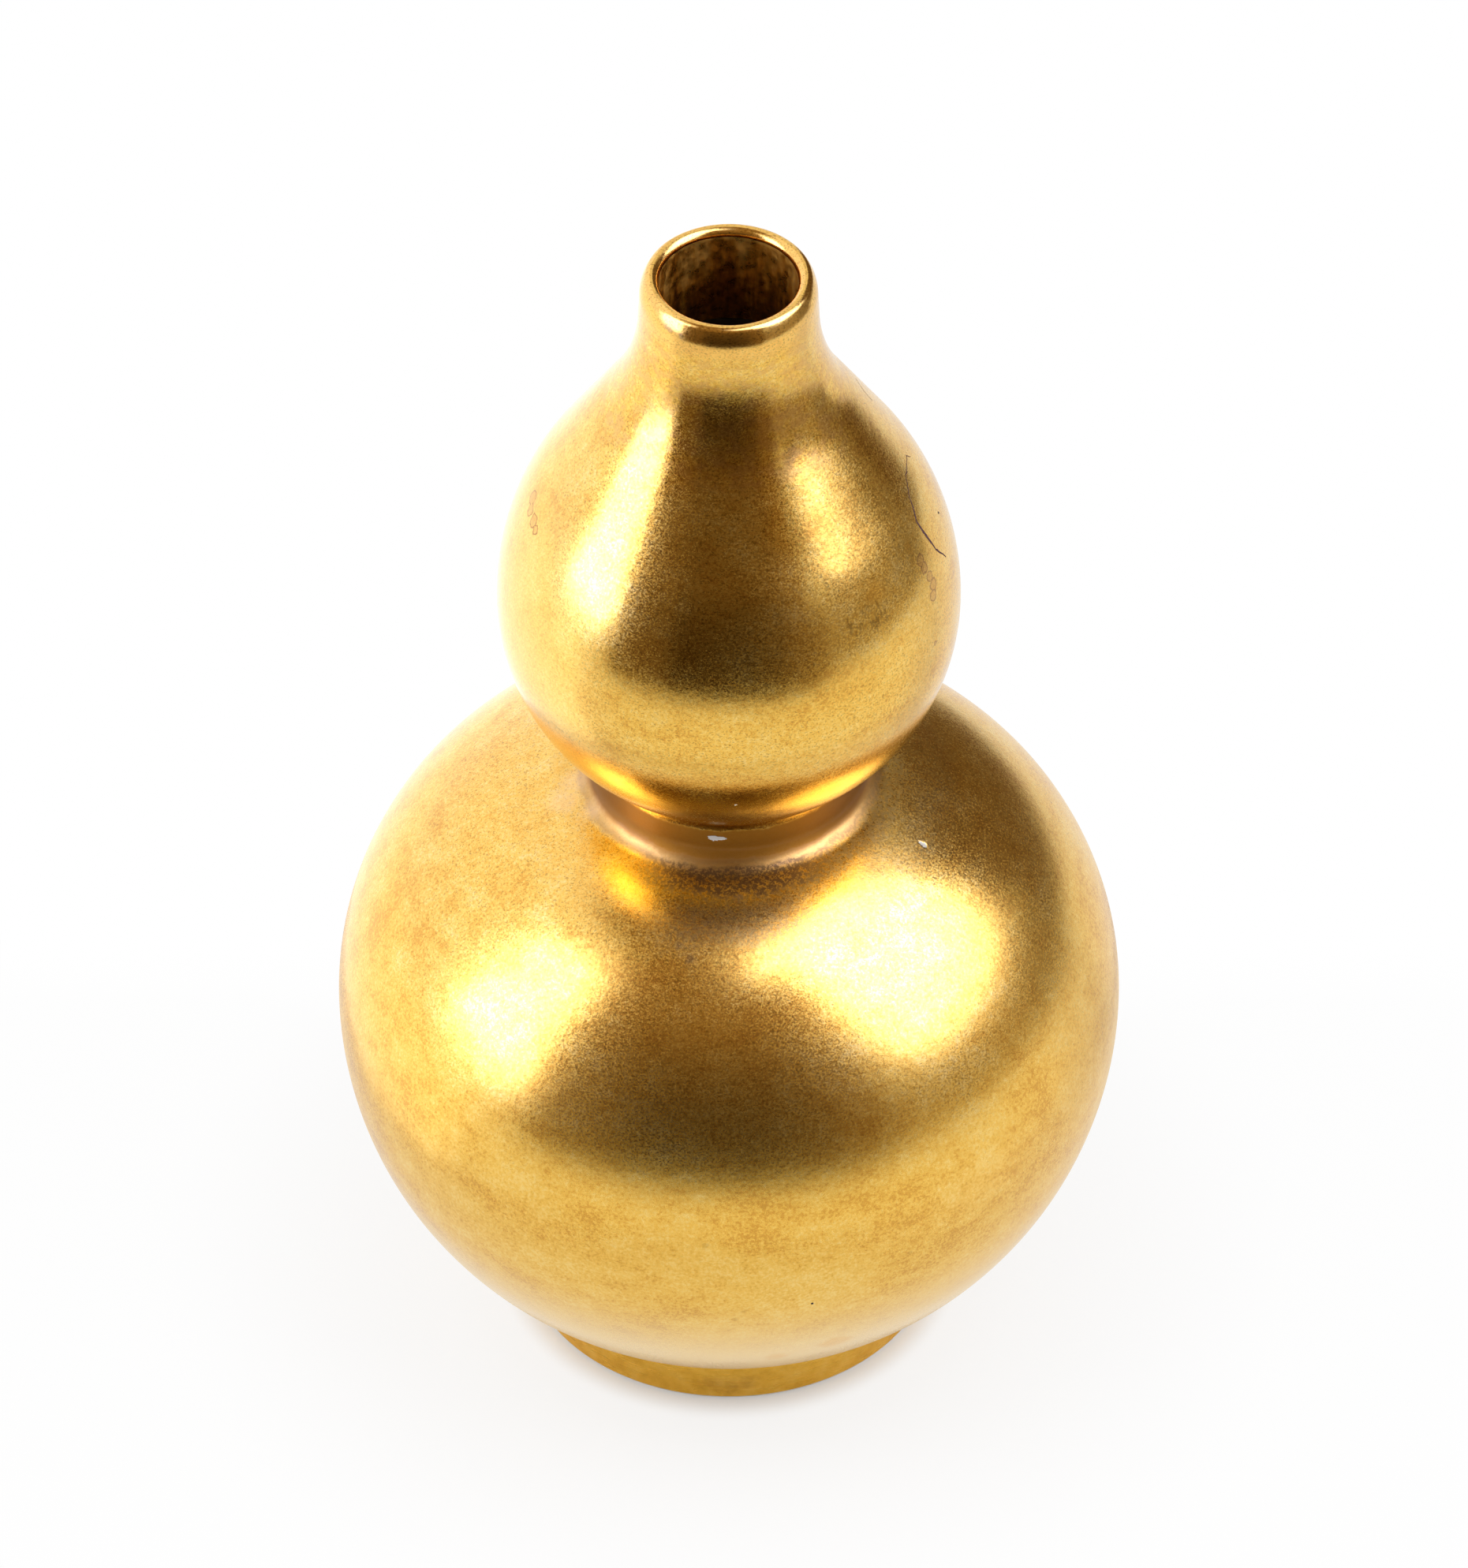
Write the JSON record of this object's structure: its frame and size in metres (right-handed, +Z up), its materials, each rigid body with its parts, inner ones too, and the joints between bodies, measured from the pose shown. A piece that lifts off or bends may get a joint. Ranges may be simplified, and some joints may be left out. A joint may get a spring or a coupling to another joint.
{
  "type": "gourd vase",
  "caption": "Gilded porcelain vase in double-gourd form: a large lower bulb on a short foot, a narrow waist, a smaller pear-shaped upper bulb and a short neck with a rounded lip.",
  "frame": {"origin": "centre of the foot, on the plane that the vase stands on", "axes": "+Z up along the vase's axis of revolution, towards the mouth; X and Y are free, because the vase is round"},
  "size_m": [0.1, 0.1, 0.1678],
  "materials": {
    "porcelain": "gloss",
    "slip": "matte",
    "gold": "satin",
    "foot_gold": "satin",
    "mouth_gold": "satin"
  },
  "bodies": {
    "root": {"base_section": "porcelain", "shoulder_section": "porcelain", "upper_bulb_section": "porcelain", "neck_section": "porcelain", "lower_bulb_seam": "slip", "waist_seam": "slip", "upper_bulb_seam": "slip", "body_gilding": "gold", "foot_gilding": "foot_gold", "mouth_gilding": "mouth_gold"}
  },
  "joints": []
}
